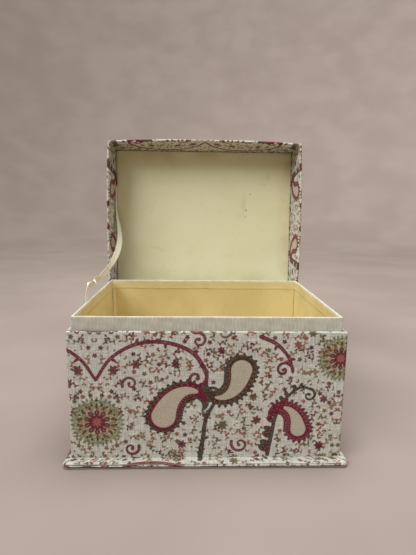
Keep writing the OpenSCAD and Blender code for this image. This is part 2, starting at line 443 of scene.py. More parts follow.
def rosette(u, v, radius):
    """A round flower of rings on a feathery green ground."""
    blob("sage", [(u, v, 0.86 * radius), (u + 1, v, 0.86 * radius)])
    for name, count, start, length, width in ROSETTE_RINGS:
        for k in range(count):
            angle = 360 * (k + 0.5) / count
            leaf(name, *off(u, v, angle, start * radius), angle, length * radius, width * radius / 26)
    for k in range(70):
        way = rng.uniform(0, 360)
        reach = radius * rng.uniform(0.62, 0.92)
        name = ("olive", "dark", "tan")[k % 3]
        leaf(name, *off(u, v, way, reach), rng.uniform(0, 360), 2.4, 1.4)
    blob("crimson", [(u, v, 0.26 * radius), (u + 0.5, v, 0.26 * radius)])
    flower("pink", "crimson", u, v, 0.2 * radius, 8)


def heading(start, end):
    """Direction from one place to another, in degrees."""
    return degrees(atan2(end[1] - start[1], end[0] - start[0]))


def vine(name, width_start, width_end, points, buds):
    """A stem with leaves on it and a line of beads along it."""
    stroke(name, width_start, width_end, points)
    along = smooth_rows(points, 17)
    for k, (u, v) in enumerate(along[1:-1]):
        leaf(name, u, v, heading((u, v), along[k + 2]) + (65 if k % 2 else -65), 6.5, 3.2)
        dab(buds, u, v, 1.1)


def frond(stem, lobe, points, lobes, size):
    """A curved stem with a row of lobes along one side, which shrink towards its tip."""
    stroke(stem, 4.6, 2.6, points)
    along = smooth_rows(points, 3)
    for k in range(lobes):
        row = int((len(along) - 3) * (k + 0.5) / lobes)
        u, v = along[row]
        way = heading((u, v), along[row + 2]) + 70
        length = size * (1 - 0.55 * k / lobes)
        leaf(stem, u, v, way, length, 0.66 * length)
        leaf(lobe, u, v, way, 0.62 * length, 0.3 * length)
        dab("pink", *off(u, v, way, 0.3 * length), 0.8)


def draw_motifs():
    """Rosettes on the two mirror axes, with paisley drops, stems and scrolls between them."""
    rosette(MIRROR_U, 38, 27)
    rosette(MIRROR_U + HALF_REPEAT, 104, 24)
    paisley("dark", "crimson", 92, 44, 62, 72, -1)
    paisley("dark", "brown", 168, 92, 56, 262, -1)
    paisley("crimson", "terracotta", 226, 30, 46, 98, 1)
    upper = [(MIRROR_U, 82), (42, 104), (66, 118), (94, 120), (120, 110), (134, 90)]
    top = [(MIRROR_U, 132), (44, 134), (58, 142), (80, 146), (104, 142), (122, 130)]
    vine("crimson", 3.2, 4.6, upper, "pink")
    vine("brown", 4.6, 3.4, top, "crimson")
    vine("dark", 5.0, 3.2, [(128, 0), (131, 20), (134, 42), (142, 58), (146, 66)], "crimson")
    vine("crimson", 4.4, 2.8, [(186, 126), (202, 118), (214, 104), (218, 90)], "pink")
    frond("dark", "crimson", [(196, 4), (199, 22), (203, 44), (212, 62), (226, 74), (238, 72)], 11, 11)
    for name, u, v, radius, start, sweep, width in (
        ("crimson", 124, 84, 11, 40, -420, 4.2), ("brown", 126, 122, 8, 110, -400, 3.4),
        ("dark", 139, 68, 7.5, -10, 400, 3.4), ("dark", 235, 66, 7, 80, -380, 3.0),
        ("crimson", 209, 92, 9, 0, 400, 3.6), ("brown", 60, 78, 8, 200, -400, 3.2),
        ("brown", 168, 14, 9, 160, 420, 3.4), ("crimson", 60, 10, 8, 20, -400, 3.4),
        ("olive", 152, 132, 7, 250, 380, 2.6),
    ):
        scroll(name, u, v, radius, start, sweep, width)


def draw_flowers():
    """Larger flowers in the gaps, each with a sprig beside it."""
    places = (
        (66, 98), (110, 14), (118, 62), (150, 34), (184, 40), (148, 112), (200, 138), (236, 130),
        (250, 62), (248, 12), (76, 132), (180, 64), (44, 92), (104, 98), (222, 118), (162, 148),
    )
    petals = ("brown", "crimson", "terracotta", "olive")
    for k, (u, v) in enumerate(places):
        flower(petals[k % 4], "tan", u, v, 5.6 - 0.5 * (k % 3), 6 + k % 2, 20 * k)
        sprig("tan", ("tan", "olive", "brown")[k % 3], u + 5, v, 47 * k, 13, 50 - 100 * (k % 2))


def ground_room(u, v):
    """How far a point is from the nearest ink, up to the reach of a dab."""
    col = int(round(np.clip((u - MIRROR_U) / CELL, 0, print_cols - 1)))
    row = int(round(v / CELL)) % print_rows
    return min(float(layer[row, col]) for layer in ink.values())


def scatter_small_flowers():
    """Small flowers, twigs and leaves wherever the larger shapes leave room."""
    spots = []
    for row in range(int(REPEAT_V / SCATTER_STEP)):
        for col in range(40):
            u = MIRROR_U + 2 + SCATTER_STEP * (col + 0.5 * (row % 2)) + rng.uniform(-2.0, 2.0)
            v = SCATTER_STEP * row + rng.uniform(-2.0, 2.0)
            spots.append((u, v))
    for k, (u, v) in enumerate(spots):
        kind = rng.integers(0, 6)
        angle = rng.uniform(0, 360)
        colour = ("olive", "tan", "tan", "terracotta", "olive", "brown")[rng.integers(0, 6)]
        if ground_room(u, v) < SCATTER_ROOM or u > MIRROR_U + HALF_REPEAT:
            continue
        if kind < 1:
            flower(("brown", "terracotta", "crimson", "olive")[k % 4], "tan", u, v, 2.8, 5, angle)
        elif kind < 4:
            sprig(colour, colour, u, v, angle, 8.5, 50, 4)
        elif kind == 4:
            leaf(colour, u, v, angle, 4.2, 1.9)
            leaf(colour, u, v, angle + 70, 3.6, 1.7)
        else:
            dab(colour, u, v, 1.0)
            leaf(colour, u + 1, v + 1, angle, 3.2, 1.5)


def draw_print():
    draw_motifs()
    draw_flowers()
    scatter_small_flowers()


def print_at(name, u, v):
    """Distance to the edge of one ink at points of the cloth."""
    across = np.abs((u - MIRROR_U + HALF_REPEAT) % (2 * HALF_REPEAT) - HALF_REPEAT) / CELL
    up = (v / CELL) % print_rows
    col = np.clip(np.floor(across).astype(int), 0, print_cols - 2)
    row = np.floor(up).astype(int) % print_rows
    above = (row + 1) % print_rows
    x = across - col
    y = up - np.floor(up)
    layer = ink[name]
    low = layer[row, col] * (1 - x) + layer[row, col + 1] * x
    high = layer[above, col] * (1 - x) + layer[above, col + 1] * x
    return low * (1 - y) + high * y


# ---- materials

INK_COLOURS = {
    "sage": ((120, 124, 76), (146, 150, 100)),
    "tan": ((142, 114, 78), (162, 136, 98)),
    "terracotta": ((146, 84, 62), (176, 116, 86)),
    "olive": ((98, 88, 50), (124, 114, 72)),
    "brown": ((104, 46, 42), (136, 74, 62)),
    "dark": ((50, 32, 20), (88, 66, 40)),
    "crimson": ((96, 10, 38), (136, 26, 62)),
    "pink": ((168, 98, 92), (198, 146, 128)),
    "pale": ((200, 190, 168), (208, 200, 182)),
}
INK_SETS = (("print_a", INKS[0:3]), ("print_b", INKS[3:6]), ("print_c", INKS[6:9]))
THREAD_PITCH = 0.95


def weave_height(tree, u, v, pitch):
    """Height of a plain weave: each thread passes over and under the ones it crosses."""
    wave_u = calc(tree, "SINE", times(tree, u, pi / pitch))
    wave_v = calc(tree, "SINE", times(tree, v, pi / pitch))
    over = ramp(tree, times(tree, wave_u, wave_v), -0.25, 0.25)
    crown_u = calc(tree, "ABSOLUTE", wave_u)
    crown_v = calc(tree, "ABSOLUTE", wave_v)
    along_u = times(tree, crown_v, over)
    along_v = times(tree, crown_u, calc(tree, "SUBTRACT", 1.0, over))
    gap = calc(tree, "MINIMUM", crown_u, crown_v)
    threads = times(tree, plus(tree, along_u, along_v), 0.6)
    return plus(tree, threads, times(tree, gap, 0.4))


def make_canvas():
    material, tree, surface = start_material("printed_canvas", 0.88, sheen=0.08)
    cloth, (u, v, _) = attribute(tree, "cloth_mm")
    wander = times(tree, calc(tree, "SUBTRACT", noise(tree, cloth, 0.16), 0.5), 1.6)
    weave = weave_height(tree, plus(tree, u, wander), plus(tree, v, wander), THREAD_PITCH)
    slub_u = noise(tree, stretched(tree, cloth, (0.07, 1.05, 1)), 1.0, 1.0)
    slub_v = noise(tree, stretched(tree, cloth, (1.05, 0.07, 1)), 1.0, 1.0)
    slubs = plus(tree, slub_u, slub_v)
    mottle = noise(tree, cloth, 0.045, 3.0)
    fine = noise(tree, cloth, 1.5, 2.0)
    ground = mix(tree, ramp(tree, mottle, 0.35, 0.65), srgb(200, 200, 188), srgb(210, 210, 198))
    colour = mix(tree, ramp(tree, slubs, 0.85, 1.25), ground, srgb(228, 227, 218))
    raggedness = times(tree, calc(tree, "SUBTRACT", fine, 0.5), 0.9)
    wear = ramp(tree, noise(tree, cloth, 0.7, 3.0), 0.3, 0.62, 0.82, 1.0)
    grain = ramp(tree, noise(tree, cloth, 0.62, 1.0), 0.38, 0.6)
    for set_name, names in INK_SETS:
        _, edges = attribute(tree, set_name)
        for name, edge in zip(names, edges):
            rim, core = INK_COLOURS[name]
            ragged = plus(tree, edge, raggedness)
            inner = times(tree, ramp(tree, ragged, -0.3, -1.3), grain)
            paint = mix(tree, inner, srgb(*rim), srgb(*core))
            cover = times(tree, ramp(tree, ragged, 0.28, -0.28), wear)
            if name == "sage":
                thin = ramp(tree, noise(tree, cloth, 0.33, 2.0), 0.3, 0.6, 0.35, 1.0)
                cover = times(tree, cover, thin)
            colour = mix(tree, cover, colour, paint)
    thread_shade = ramp(tree, weave, 0.1, 0.75, 0.64, 1.06)
    shade = times(tree, thread_shade, ramp(tree, slubs, 0.75, 1.3, 0.9, 1.06))
    shaded = tree.nodes.new("ShaderNodeVectorMath")
    shaded.operation = "SCALE"
    tree.links.new(colour, shaded.inputs[0])
    tree.links.new(shade, shaded.inputs["Scale"])
    relief = plus(tree, weave, times(tree, slubs, 0.5))
    dress(tree, surface, shaded.outputs[0], relief, 0.22, 0.8)
    return material


def make_ribbed_cloth():
    material, tree, surface = start_material("ribbed_cloth", 0.8, sheen=0.1)
    cloth, _ = attribute(tree, "cloth_mm")
    streaks = noise(tree, stretched(tree, cloth, (1.3, 0.12, 1)), 1.0, 3.0)
    threads = noise(tree, stretched(tree, cloth, (0.6, 3.5, 1)), 1.0, 2.0)
    mottle = noise(tree, cloth, 0.06, 2.0)
    colour = mix(tree, ramp(tree, streaks, 0.35, 0.65), srgb(206, 204, 188), srgb(224, 223, 208))
    colour = mix(tree, ramp(tree, mottle, 0.5, 0.75, 0.0, 0.35), colour, srgb(205, 196, 170))
    # painted shade: the cloth is darker in the grooves between its ribs
    _, (groove, _, _) = attribute(tree, "rib_groove_shade")
    colour = mix(tree, times(tree, groove, 0.8), colour, srgb(112, 108, 92))
    relief = plus(tree, streaks, times(tree, threads, 0.6))
    dress(tree, surface, colour, relief, 0.12, 0.6)
    return material


def make_paper(name, light, dark, spot, speck_share):
    """Thin paper glued to board: soft blotches, faint fibres and a few specks."""
    material, tree, surface = start_material(name, 0.72)
    here = place(tree)
    blotches = noise(tree, here, 0.014, 3.0)
    clouds = noise(tree, here, 0.06, 3.0)
    fibres = noise(tree, stretched(tree, here, (0.25, 1.4, 1.4)), 1.0, 3.0)
    specks = noise(tree, here, 0.55, 0.0)
    colour = mix(tree, ramp(tree, blotches, 0.35, 0.68), light, dark)
    colour = mix(tree, ramp(tree, clouds, 0.55, 0.85, 0.0, 0.3), colour, spot)
    colour = mix(tree, ramp(tree, fibres, 0.4, 0.75, 0.0, 0.16), colour, spot)
    speckled = ramp(tree, specks, 1 - speck_share, 1 - speck_share + 0.02, 0.0, 0.5)
    colour = mix(tree, speckled, colour, srgb(120, 95, 60))
    relief = plus(tree, fibres, times(tree, clouds, 0.8))
    dress(tree, surface, colour, relief, 0.1, 0.5)
    return material


def make_stained_and_shaded_paper(name, light, dark, spot, speck_share):
    """Paper with what its mesh carries: specks and smudges of use, and painted shade that darkens its edges
    to brown.
    """
    material = make_paper(name, light, dark, spot, speck_share)
    tree = material.node_tree
    surface = tree.nodes["Principled BSDF"]
    colour = surface.inputs["Base Color"].links[0].from_socket
    _, (speck, smudge, edge_shade) = attribute(tree, "marks_and_edge_shade")
    patch = noise(tree, place(tree), 0.05, 3.0)
    # painted shade: the liner turns brown towards its edges, where the lid's walls shade it
    edge_shade_share = times(tree, edge_shade, ramp(tree, patch, 0.25, 0.7, 0.25, 0.6))
    colour = mix(tree, edge_shade_share, colour, srgb(186, 160, 104))
    colour = mix(tree, times(tree, smudge, 0.35), colour, srgb(176, 150, 112))
    colour = mix(tree, ramp(tree, speck, 0.3, -0.3, 0.0, 0.8), colour, srgb(74, 60, 44))
    tree.links.new(colour, surface.inputs["Base Color"])
    return material


def make_ribbon_satin():
    material, tree, surface = start_material("ribbon_satin", 0.42, sheen=0.2)
    cloth, (u, v, _) = attribute(tree, "cloth_mm")
    threads = noise(tree, stretched(tree, cloth, (5.0, 0.15, 1)), 1.0, 2.0)
    picks = calc(tree, "ABSOLUTE", calc(tree, "SINE", times(tree, v, pi / 0.45)))
    edge = ramp(tree, calc(tree, "ABSOLUTE", u), 4.0, 4.6)
    colour = mix(tree, ramp(tree, threads, 0.35, 0.65), srgb(236, 231, 214), srgb(246, 243, 231))
    colour = mix(tree, times(tree, edge, 0.35), colour, srgb(214, 205, 180))
    raised = plus(tree, times(tree, picks, 0.4), times(tree, edge, 0.8))
    relief = plus(tree, threads, raised)
    dress(tree, surface, colour, relief, 0.1, 0.5)
    return material


def make_floor_material():
    material, tree, surface = start_material("pale_floor", 0.85)
    soft = noise(tree, place(tree), 0.004, 2.0)
    colour = mix(tree, ramp(tree, soft, 0.3, 0.7), srgb(150, 137, 129), srgb(158, 145, 137))
    tree.links.new(colour, surface.inputs["Base Color"])
    return material


# ---- mesh helpers

SHARP_ANGLE = radians(38)


def swing_open(points):
    """Points of the shut lid, where they are with the lid open."""
    ahead = hinge_y - points[..., 1]
    up = points[..., 2] - hinge_z
    made = points.copy()
    made[..., 1] = hinge_y - ahead * cos(lid_angle) + up * sin(lid_angle)
    made[..., 2] = hinge_z + ahead * sin(lid_angle) + up * cos(lid_angle)
    return made


def build(name, points, faces, material, vectors=None, tidy_normals=True):
    mesh = bpy.data.meshes.new(name)
    mesh.from_pydata((points.reshape(-1, 3) * MM).tolist(), [], faces)
    if tidy_normals:
        work = bmesh.new()
        work.from_mesh(mesh)
        bmesh.ops.recalc_face_normals(work, faces=work.faces)
        work.to_mesh(mesh)
        work.free()
    mesh.shade_smooth()
    mesh.set_sharp_from_angle(angle=SHARP_ANGLE)
    for key, values in (vectors or {}).items():
        layer = mesh.attributes.new(key, "FLOAT_VECTOR", "POINT")
        layer.data.foreach_set("vector", np.ascontiguousarray(values, np.float32).ravel())
    mesh.materials.append(material)
    made = bpy.data.objects.new(name, mesh)
    bpy.context.scene.collection.objects.link(made)
    return made


def settle(made, body, slot, *nodes):
    """Says which body a piece rides on and which CAD nodes it stands for; the slot argument, its finish, is
    not used.
    """
    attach(made, body)
    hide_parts(*nodes)
    return made


def cloth_vectors(u, v):
    """Cloth coordinates and the print's inks at each point."""
    u, v = u.ravel(), v.ravel()
    made = {"cloth_mm": np.stack([u, v, 0 * u], -1)}
    for set_name, names in INK_SETS:
        made[set_name] = np.stack([print_at(name, u, v) for name in names], -1)
    return made


def ripple(x, y, length):
    """Smooth unevenness, from -1 to 1, of about this wavelength."""
    k = 2 * pi / length
    return (
        np.sin(k * x + 1.3) * np.cos(k * 0.8 * y + 0.4) + np.sin(k * 0.63 * x - k * 0.5 * y + 2.1)
        + np.cos(k * 1.37 * y + k * 0.3 * x)
    ) / 3


class Sleeve:
    """A rounded rectangle in plan that cloth is wrapped around."""

    def __init__(self, half_x, half_y, mid_y, corner):
        self.half_x = half_x
        self.half_y = half_y
        self.mid_y = mid_y
        self.corner = corner

    def panel(self, side, profile, step):
        """Points of one side: profile rows of inset and height, swept from corner to corner."""
        crosswise = side in ("front", "back")
        length = self.half_x if crosswise else self.half_y
        reach = self.half_y if crosswise else self.half_x
        count = max(int(2 * length / step), 4)
        turns = np.radians([45, 36, 27, 18, 9])
        share = np.concatenate([-np.ones(5), np.linspace(-1, 1, count), np.ones(5)])
        turn = np.concatenate([-turns, np.zeros(count), turns[::-1]])
        inset = profile[:, 0][:, None]
        curl = np.maximum(self.corner - inset, 0.12)
        s = share * (length - inset - curl) + curl * np.sin(turn)
        n = reach - inset - curl + curl * np.cos(turn)
        u = share * (length - self.corner) + self.corner * turn
        z = np.repeat(profile[:, 1][:, None], len(share), 1)
        return s, n, z, np.repeat(u[None, :], len(profile), 0), length

    def world(self, side, s, n, z):
        along, out = SIDE_WAYS[side]
        x = along[0] * s + out[0] * n
        y = along[1] * s + out[1] * n + self.mid_y
        return np.stack([x, y, z], -1)


def loop_faces(rows, cols):
    """Quads of a closed profile swept along a path, and a face at each end."""
    faces = []
    for i in range(rows):
        j = (i + 1) % rows
        for k in range(cols - 1):
            faces.append((i * cols + k, i * cols + k + 1, j * cols + k + 1, j * cols + k))
    faces.append(tuple(i * cols for i in range(rows)))
    faces.append(tuple(i * cols + cols - 1 for i in reversed(range(rows))))
    return faces


def run(start, end, step):
    """Evenly spaced points of a section from start up to, but not at, the end."""
    count = max(int(round(dist(start, end) / step)), 1)
    way = (end[0] - start[0], end[1] - start[1])
    return [(start[0] + way[0] * k / count, start[1] + way[1] * k / count) for k in range(count)]


def bend(middle, radius, from_angle, to_angle, count=7):
    """Points of an arc of a section, angles in degrees from straight in, turning to straight up."""
    made = []
    for k in range(count):
        way = radians(from_angle + (to_angle - from_angle) * k / (count - 1))
        made.append((middle[0] + radius * cos(way), middle[1] + radius * sin(way)))
    return made


def along_profile(profile):
    """Length along a section from its first point."""
    steps = np.hypot(*np.diff(profile, axis=0).T)
    return np.concatenate([[0], np.cumsum(steps)])


def close_section(section, hidden):
    """A section with its unseen back, the length along it, and how many of its points are seen."""
    seen = len(section)
    section = np.array(section + hidden)
    length = along_profile(section)
    length[seen:] = length[seen - 1]
    return section, length, seen


def printed_side(name, body, points, u, v, canvas):
    """One side of a printed cover, as its own piece standing for the whole cover's node."""
    made = build(name, points, loop_faces(*u.shape), canvas, cloth_vectors(u, v))
    settle(made, body, "printed_canvas", name.rsplit("_", 1)[0])


def grid(x, y, z):
    """Points of a sheet, from its places in plan and its height."""
    return np.stack([x, y, z + 0 * x], -1)


def ramp_np(value, low, high):
    t = np.clip((value - low) / (high - low), 0, 1)
    return t * t * (3 - 2 * t)


def slab(name, face, back, material, vectors=None):
    """A closed sheet between two grids of points."""
    rows, cols = face.shape[:2]
    faces = []
    size = rows * cols
    for i in range(rows - 1):
        for k in range(cols - 1):
            a = i * cols + k
            faces.append((a, a + 1, a + cols + 1, a + cols))
            faces.append((size + a + cols, size + a + cols + 1, size + a + 1, size + a))
    edge = list(range(cols))
    edge += [i * cols + cols - 1 for i in range(1, rows)]
    edge += [(rows - 1) * cols + k for k in range(cols - 2, -1, -1)]
    edge += [i * cols for i in range(rows - 2, 0, -1)]
    for k, a in enumerate(edge):
        b = edge[(k + 1) % len(edge)]
        faces.append((b, a, size + a, size + b))
    points = np.concatenate([face.reshape(-1, 3), back.reshape(-1, 3)])
    if vectors:
        vectors = {key: np.concatenate([values, values]) for key, values in vectors.items()}
    return build(name, points, faces, material, vectors)


# ---- plinth

PRINT_STEP = 0.9
PLINTH_CORNER = 5.0
PLINTH_EDGE = 2.3
PLINTH_PRINT = {"front": 135.0, "right": 372.0, "back": 610.0, "left": 846.0}
PLINTH_PRINT_V = 22.0
GROOVE_DROP = 1.25
GROOVE_WIDTH = 0.55
CORNER_REACH = 16.0


def make_plinth(canvas):
    mid_y = (plinth_low[1] + plinth_high[1]) / 2
    sleeve = Sleeve(plinth_high[0], (plinth_high[1] - plinth_low[1]) / 2, mid_y, PLINTH_CORNER)
    low = plinth_low[2]
    top = plinth_high[2]
    section = run((canvas_lap, low), (PLINTH_EDGE, low), 2.5)
    section += bend((PLINTH_EDGE, low + 1.2), 1.2, 270, 210, 4)
    section += bend((PLINTH_EDGE, top - PLINTH_EDGE), PLINTH_EDGE, 180, 90, 11)
    section += run((PLINTH_EDGE + 0.4, top), (canvas_lap, top), 0.8)
    section, length, seen = close_section(section, [
        (canvas_lap, top - canvas_t), (PLINTH_EDGE, top - canvas_t), (canvas_t, top - 1.9),
        (canvas_t, low + 1.6), (1.6, low + canvas_t), (canvas_lap, low + canvas_t),
    ])
    groove_v = length_at(length, section, top - GROOVE_DROP) - PLINTH_PRINT_V
    for side, middle_u in PLINTH_PRINT.items():
        s, n, z, u, half = sleeve.panel(side, section, PRINT_STEP)
        v = np.repeat((length - PLINTH_PRINT_V)[:, None], s.shape[1], 1)
        row = np.arange(len(section))[:, None]
        visible = row < seen
        near_end = np.clip((np.abs(u) - (half - CORNER_REACH)) / CORNER_REACH, 0, 1) ** 2
        puff = 0.9 * near_end * (1 + 0.5 * np.sin(u * 1.15) * np.sin(v * 0.9))
        lift = np.where(z > (low + top) / 2, 1.0, 0.15) * puff
        uneven = 0.22 * ripple(u, v, 19) + 0.12 * ripple(u, v, 7)
        groove = np.exp(-((v - groove_v) / GROOVE_WIDTH) ** 2)
        if side == "front":
            left_end = ramp_np(-u, 60, 118)
            depth = 0.18 + 0.75 * left_end
        else:
            depth = 0.15
        n = n + np.where(visible, uneven + 0.5 * puff - depth * groove, 0)
        z = z + np.where(visible & (z > low + 1.0), lift + 0.2 * uneven, 0)
        points = sleeve.world(side, s, n, z)
        printed_side("plinth_cover_" + side, "case", points, u + middle_u, v, canvas)


def length_at(length, section, height):
    """How far along a section its outer edge reaches a height."""
    outer = np.argmin(section[:, 0])
    candidates = np.abs(section[:, 1] - height) + 3 * np.abs(section[:, 0] - section[outer, 0])
    return length[np.argmin(candidates)]


# ---- case

CASE_CORNER = 1.4
RIM_ROUND = 1.58
CASE_PRINT = {"front": 135.0, "right": 372.0, "back": 609.0, "left": 846.0}


def make_case_cover(canvas):
    sleeve = Sleeve(half_w, half_d, 0, CASE_CORNER)
    section = run((0, plinth_z), (0, rim_z - RIM_ROUND), PRINT_STEP)
    section += bend((RIM_ROUND, rim_z - RIM_ROUND), RIM_ROUND, 180, 0, 12)
    section += run((wall_t, rim_z - RIM_ROUND - 0.5), (wall_t, rim_z - canvas_turn), 1.5)
    section += [(wall_t, rim_z - canvas_turn)]
    section, length, seen = close_section(section, [
        (wall_t - canvas_t, rim_z - canvas_turn), (wall_t - canvas_t, rim_z - canvas_t),
        (canvas_t, rim_z - canvas_t), (canvas_t, plinth_z),
    ])
    for side, middle_u in CASE_PRINT.items():
        s, n, z, u, half = sleeve.panel(side, section, PRINT_STEP)
        v = np.repeat(length[:, None], s.shape[1], 1)
        row = np.arange(len(section))[:, None]
        face = row < seen - 12
        flat = 1 - ramp_np(np.abs(u), half - 6, half)
        swell = 0.14 * ripple(u, v, 58) * flat
        n = n + np.where(face, np.maximum(swell, -0.05), 0)
        wave = 0.22 * ripple(u, 0, 37) + 0.1 * ripple(u, 0, 9)
        z = z + np.where((row < seen) & (z > rim_z - 4), wave, 0)
        points = sleeve.world(side, s, n, z)
        printed_side("case_cover_" + side, "case", points, u + middle_u, v, canvas)


# ---- neck and linings

NECK_CORNER = 1.6
NECK_ROUND = 1.28
RIB_PITCH = 1.3
RIB_DEPTH = 0.13
SIDE_SHIFT = 300


def make_neck_cover(ribbed):
    sleeve = Sleeve(half_w - neck_in, half_d - neck_in, 0, NECK_CORNER)
    inner = turn_face_in - neck_in
    section = run((0, neck_z - rib_drop), (0, neck_z - NECK_ROUND), 1.4)
    section += bend((NECK_ROUND, neck_z - NECK_ROUND), NECK_ROUND, 180, 0, 11)
    section += run((inner, neck_z - NECK_ROUND - 0.5), (inner, neck_z - rib_turn), 1.5)
    section += [(inner, neck_z - rib_turn)]
    section, length, seen = close_section(section, [
        (inner - rib_t, neck_z - rib_turn), (inner - rib_t, neck_z - rib_t),
        (rib_t, neck_z - rib_t), (rib_t, neck_z - rib_drop),
    ])
    for number, side in enumerate(SIDE_WAYS):
        s, n, z, u, _ = sleeve.panel(side, section, RIB_PITCH / 4)
        v = np.repeat(length[:, None], s.shape[1], 1)
        lean = 0.5 * ripple(u, v, 31) + 0.25 * ripple(u, v, 11)
        rib = 0.5 + 0.5 * np.cos(2 * pi * (u + lean) / RIB_PITCH)
        strength = 0.65 + 0.35 * ripple(u, v, 13)
        visible = np.arange(len(section))[:, None] < seen
        normal_n, normal_z = section_normal(section)
        raised = np.where(visible, RIB_DEPTH * (rib - 1) * strength, 0)
        n = n + raised * normal_n + np.where(visible & (z > neck_z - 4), 0.12 * ripple(u, 0, 47), 0)
        z = z + raised * normal_z + np.where(visible & (z > neck_z - 4), 0.1 * ripple(u, 0, 61), 0)
        # painted shade: how dark the cloth is painted in the grooves between the ribs
        groove = ((1 - rib) ** 1.5 * strength).ravel()
        vectors = {
            "cloth_mm": np.stack([(u + SIDE_SHIFT * number).ravel(), v.ravel(), 0 * groove], -1),
            "rib_groove_shade": np.stack([groove, 0 * groove, 0 * groove], -1),
        }
        points = sleeve.world(side, s, n, z)
        made = build("neck_cover_" + side, points, loop_faces(*s.shape), ribbed, vectors)
        settle(made, "case", "ribbed_cloth", "neck_cover")


def section_normal(section):
    """Outward direction of a section at each of its points, as change of distance and height."""
    ahead = np.roll(section, -1, 0) - np.roll(section, 1, 0)
    size = np.hypot(ahead[:, 0], ahead[:, 1])
    size[size == 0] = 1
    return (ahead[:, 1] / size)[:, None], (ahead[:, 0] / size)[:, None]


def lining_grid(side, half_length, ends=(0.0, 0.0)):
    """Face and back of a lining: it steps off the turned-in cloth onto the neck board."""
    sleeve = Sleeve(half_w - neck_face_in, half_d - neck_face_in, 0, 0.2)
    reach = sleeve.half_y if side in ("front", "back") else sleeve.half_x
    foot = floor_high[2]
    heights = np.concatenate([
        np.arange(foot, neck_z - rib_turn - 6, 3.0),
        np.arange(neck_z - rib_turn - 6, neck_z - lining_drop, 0.4),
        [neck_z - lining_drop],
    ])
    s = np.linspace(-half_length + ends[0], half_length - ends[1], max(int(half_length / 1.5), 12))
    grid_s, grid_z = np.meshgrid(s, heights)
    edge_z = neck_z - rib_turn + 0.35 * ripple(grid_s, 0, 33)
    step = ramp_np(grid_z, edge_z - 2.2, edge_z)
    pucker = 0.10 * ripple(grid_s, grid_z, 26) + 0.05 * ripple(grid_s, grid_z, 9)
    pucker = pucker * ramp_np(grid_z, foot, foot + 4) * (1 - ramp_np(grid_z, neck_z - 6, neck_z - 2))
    back_in = rib_t * step
    face_in = back_in + paper_t + np.maximum(pucker, -0.05) + 0.12 * np.exp(-((grid_z - edge_z) / 0.6) ** 2)
    face = sleeve.world(side, grid_s, reach - face_in, grid_z)
    back = sleeve.world(side, grid_s, reach - back_in, grid_z)
    return face, back


CORNER_GAP = 0.15
LAP_WIDTH = 4.0
LAP_LIFT = 0.22


def make_linings(lining, lap_paper):
    inner_w = half_w - neck_face_in
    inner_d = half_d - neck_face_in
    for side in SIDE_WAYS:
        if side in ("front", "back"):
            face, back = lining_grid(side, inner_w - rib_t - paper_t, (CORNER_GAP, 0.0))
        else:
            face, back = lining_grid(side, inner_d - rib_t)
        made = slab("lining_" + side, face, back, lining)
        settle(made, "case", "lining_paper", "lining_" + side)
    half = inner_w - rib_t - paper_t
    face, back = lining_grid("back", half, (2 * half - LAP_WIDTH, 0.0))
    for points in (face, back):
        points[..., 1] -= LAP_LIFT
    made = slab("lining_lap", face, back, lap_paper)
    settle(made, "case", "lining_paper", "lining_left")
    xs = np.linspace(floor_low[0], floor_high[0], 90)
    ys = np.linspace(floor_low[1], floor_high[1], 70)
    x, y = np.meshgrid(xs, ys)
    z = floor_high[2] + 0.12 * np.maximum(ripple(x, y, 55), -0.3)
    made = slab("floor_paper", grid(x, y, z), grid(x, y, floor_low[2]), lining)
    settle(made, "case", "lining_paper", "floor_lining")


# ---- lid

LID_BOW = {"front": 3.4, "right": 2.2, "back": 0.0, "left": 2.0}
LID_PRINT = {"front": 502.0, "right": 739.5, "back": 977.0, "left": 264.5}
LID_PRINT_V = {"front": 128.0, "right": 64.0, "back": 20.0, "left": 60.0}
LID_TOP_PRINT = (152.0, 30.0)


def lid_bow(side, s, z, half):
    """How far a wall of the lid stands out at a point, most at the middle of its rim."""
    to_rim = np.clip((lid_board_z - z) / (lid_board_z - lid_z0), 0, 1)
    return LID_BOW[side] * to_rim ** 1.3 * (1 - np.clip(np.abs(s) / (half - 2), 0, 1) ** 2.4)


def make_lid_cover(canvas):
    sleeve = Sleeve(half_w, half_d, 0, CASE_CORNER)
    section = run((wall_t + canvas_lap, liner_z), (wall_t, liner_z), 4)
    section += run((wall_t, liner_z), (wall_t, lid_z0 + RIM_ROUND), PRINT_STEP)
    section += bend((RIM_ROUND, lid_z0 + RIM_ROUND), RIM_ROUND, 360, 180, 12)
    section += run((0, lid_z0 + RIM_ROUND + 0.4), (0, lid_z1 - RIM_ROUND), 1.1)
    section += bend((RIM_ROUND, lid_z1 - RIM_ROUND), RIM_ROUND, 180, 90, 7)
    section, length, _ = close_section(section, [
        (RIM_ROUND, lid_z1 - canvas_t), (canvas_t, lid_z1 - canvas_t), (canvas_t, lid_z0 + canvas_t),
        (wall_t - canvas_t, lid_z0 + canvas_t), (wall_t - canvas_t, lid_board_z),
        (wall_t + canvas_lap, lid_board_z),
    ])
    for side, middle_u in LID_PRINT.items():
        s, n, z, u, half = sleeve.panel(side, section, 1.0)
        v = np.repeat((LID_PRINT_V[side] - length + canvas_lap)[:, None], s.shape[1], 1)
        wave = 0.3 * ripple(u, 0, 41) + 0.15 * ripple(u, 0, 8)
        n = n + lid_bow(side, s, z, half)
        z = z + np.where(z < lid_z0 + 4, wave, 0)
        points = swing_open(sleeve.world(side, s, n, z))
        printed_side("lid_cover_" + side, "lid", points, u + middle_u, v, canvas)
    xs = np.linspace(-half_w + 1, half_w - 1, 262)
    ys = np.linspace(-half_d + 1, half_d - 1, 198)
    x, y = np.meshgrid(xs, ys)
    face = swing_open(grid(x, y, lid_z1 - 0.02))
    back = swing_open(grid(x, y, lid_z1 - canvas_t))
    vectors = cloth_vectors(x + LID_TOP_PRINT[0], y + LID_TOP_PRINT[1])
    made = slab("lid_cover_top", face, back, canvas, vectors)
    settle(made, "lid", "printed_canvas", "lid_cover")


